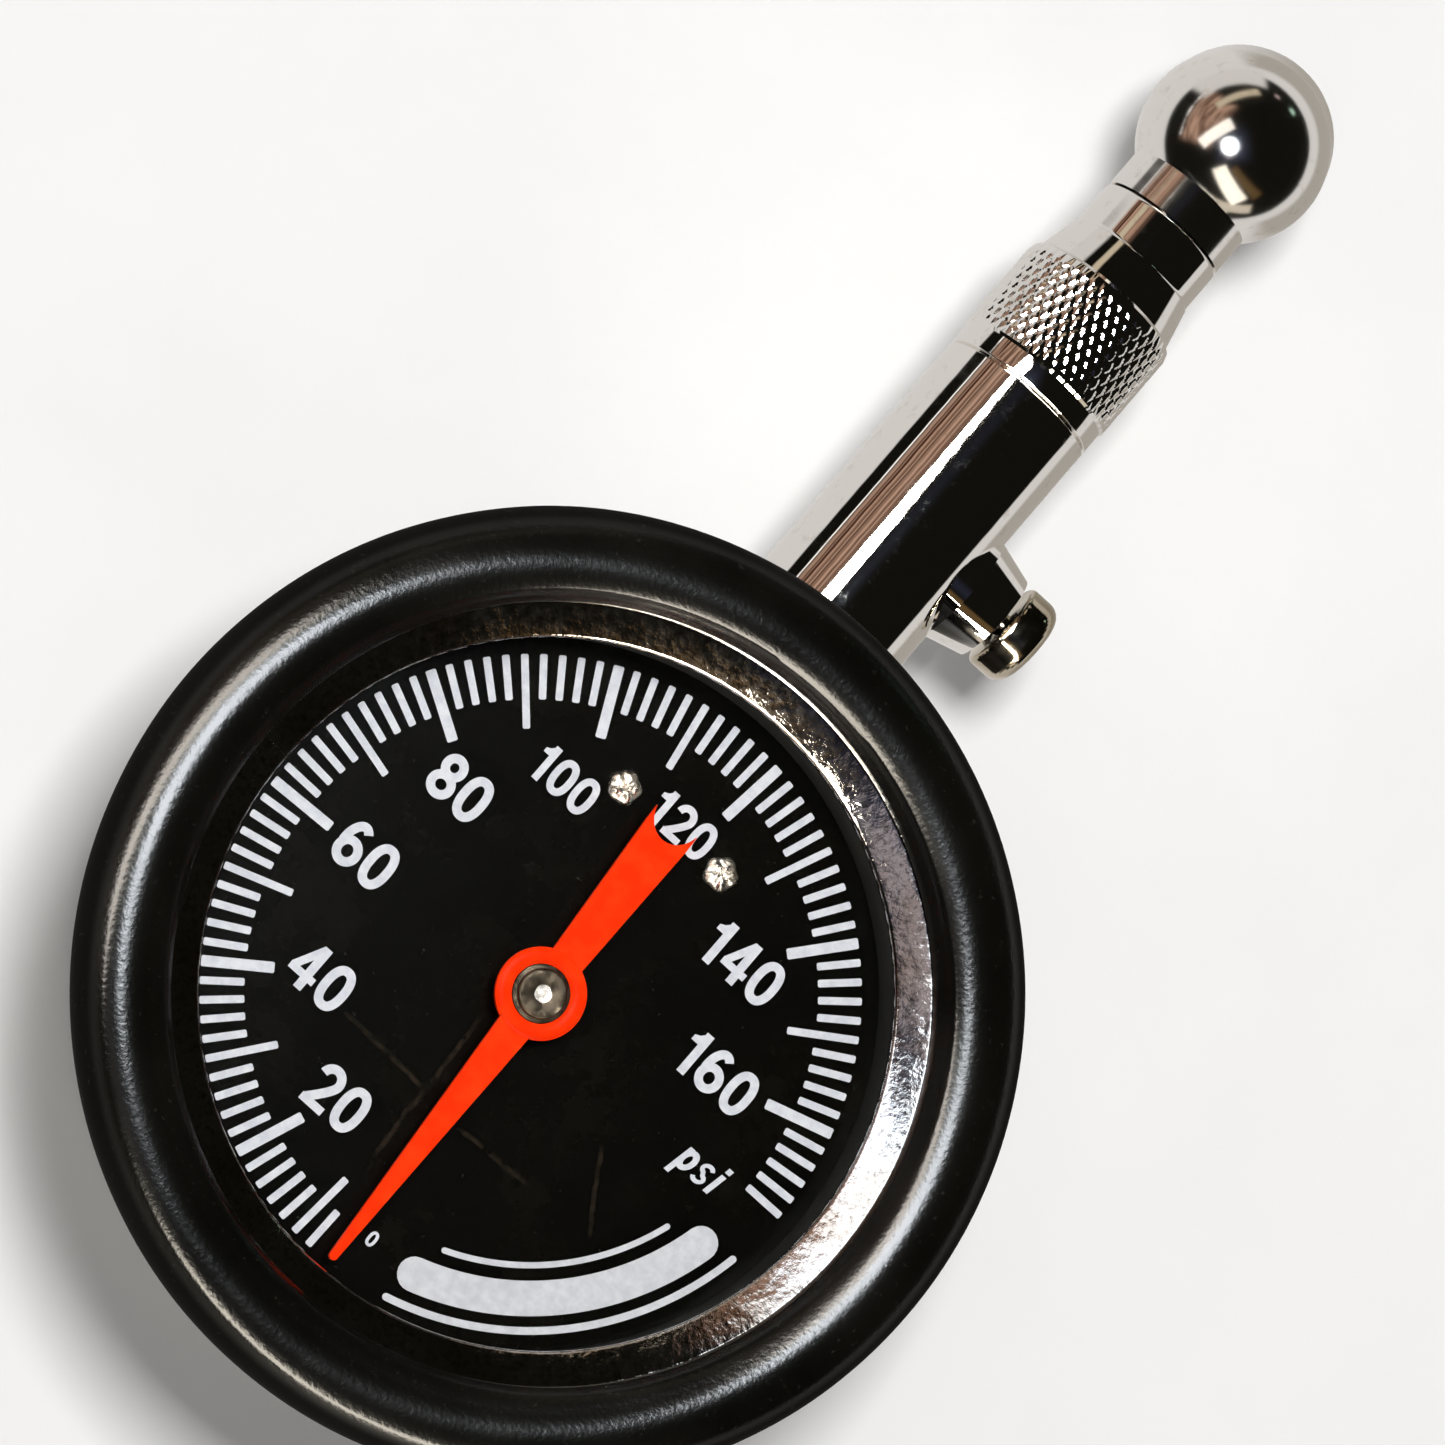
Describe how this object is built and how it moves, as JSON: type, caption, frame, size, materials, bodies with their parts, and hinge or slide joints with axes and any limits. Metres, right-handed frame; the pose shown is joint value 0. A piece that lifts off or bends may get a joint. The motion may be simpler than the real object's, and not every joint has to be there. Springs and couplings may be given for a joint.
{
  "type": "tire pressure gauge",
  "caption": "Dial tire pressure gauge with a rubber boot, bezel and lens, pressure-tube movement, bleeder button and a swivelling ball chuck on a knurled stem.",
  "frame": {"origin": "centre of the boot's flat back face", "axes": "+Z out of the dial, +Y along the stem towards the chuck, +X towards the bleeder button"},
  "size_m": [0.0628, 0.114, 0.028],
  "materials": {
    "boot_rubber": "satin moulded rubber",
    "case_steel": "drawn steel",
    "bezel_chrome": "polished",
    "lens_clear": "clear",
    "seal_rubber": "matte",
    "dial_black": "satin black",
    "screw_steel": "turned steel",
    "brass": "turned brass",
    "bronze": "drawn phosphor bronze",
    "pointer_paint": "fluorescent orange-red",
    "fibre": "vulcanised fibre",
    "stem_chrome": "polished chrome on brass",
    "spring_steel": "drawn wire"
  },
  "bodies": {
    "gauge": {"rubber_boot": "boot_rubber", "case_cup": "case_steel", "bezel_ring": "bezel_chrome", "lens": "lens_clear", "lens_gasket": "seal_rubber", "dial_plate": "dial_black", "dial_screws": "screw_steel", "dial_posts": "brass", "socket_block": "brass", "case_screws": "screw_steel", "bourdon_tube": "bronze", "movement_back_plate": "brass", "movement_front_plate": "brass", "movement_pillars": "brass", "plate_screws": "screw_steel", "sector_stop_pin": "screw_steel", "hairspring": "bronze", "hairspring_stud": "brass", "stem_washer": "fibre", "stem_tube": "stem_chrome", "check_seat": "seal_rubber", "poppet_spring": "spring_steel", "bleeder_seat": "stem_chrome", "bleeder_spring": "spring_steel", "swivel_plug": "brass", "knurled_collar": "stem_chrome"},
    "needle": {"pinion_arbor": "screw_steel", "hairspring_collet": "brass", "pointer": "pointer_paint", "pointer_bush": "screw_steel"},
    "sector": {"sector_gear": "brass", "sector_arbor": "screw_steel", "tail_pin": "screw_steel"},
    "link": {"link_bar": "brass"},
    "tube_end": {"tube_tip": "brass", "tip_pin": "screw_steel"},
    "poppet": {"check_poppet": "brass"},
    "button": {"bleeder_button": "stem_chrome", "bleeder_o_ring": "seal_rubber"},
    "chuck": {"chuck_body": "stem_chrome", "swivel_o_ring": "seal_rubber", "swivel_clip": "spring_steel", "chuck_seal": "seal_rubber", "pin_guide": "brass", "pin_spring": "spring_steel"},
    "depressor": {"depressor_pin": "brass"}
  },
  "joints": [
    {"name": "sector_turn", "type": "hinge", "parent": "gauge", "child": "sector", "pos_m": [-0.0109, -0.0038, 0.01], "axis": [0, 0, 1], "range_deg": [0, 30.22], "stiffness_Nm_per_rad": 0.01, "springref_deg": -2.86},
    {"name": "pointer_turn", "type": "hinge", "parent": "gauge", "child": "needle", "pos_m": [0, 0, 0.0211], "axis": [0, 0, -1], "range_deg": [0, 272], "deforming": ["hairspring"]},
    {"name": "link_turn", "type": "hinge", "parent": "sector", "child": "link", "pos_m": [-0.01549, -0.00181, 0.011], "axis": [0, 0, 1], "range_deg": [-30.3, 0]},
    {"name": "tip_flex", "type": "slide", "parent": "gauge", "child": "tube_end", "axis": [-0.1459, -0.9893, 0], "range_m": [0, 0.00265], "deforming": ["bourdon_tube"]},
    {"name": "check_lift", "type": "slide", "parent": "gauge", "child": "poppet", "axis": [0, -1, 0], "range_m": [0, 0.0009], "stiffness_N_per_m": 60, "springref_m": -0.001, "deforming": ["poppet_spring"]},
    {"name": "bleeder_press", "type": "slide", "parent": "gauge", "child": "button", "axis": [-1, 0, 0], "range_m": [0, 0.0005], "stiffness_N_per_m": 600, "springref_m": -0.001, "deforming": ["bleeder_spring"]},
    {"name": "chuck_swivel", "type": "hinge", "parent": "gauge", "child": "chuck", "pos_m": [0, 0.07465, 0.0114], "axis": [0, 1, 0], "continuous": true},
    {"name": "depressor_press", "type": "slide", "parent": "chuck", "child": "depressor", "axis": [-0.1632, -0.342, 0.9254], "range_m": [0, 0.0008], "stiffness_N_per_m": 400, "springref_m": -0.001, "deforming": ["pin_spring"]}
  ],
  "couplings": [
    {"joint": "pointer_turn", "follows": "sector_turn", "ratio": 9},
    {"joint": "link_turn", "follows": "sector_turn", "ratio": -1},
    {"joint": "tip_flex", "follows": "sector_turn", "m_per_rad": 0.0049422}
  ]
}
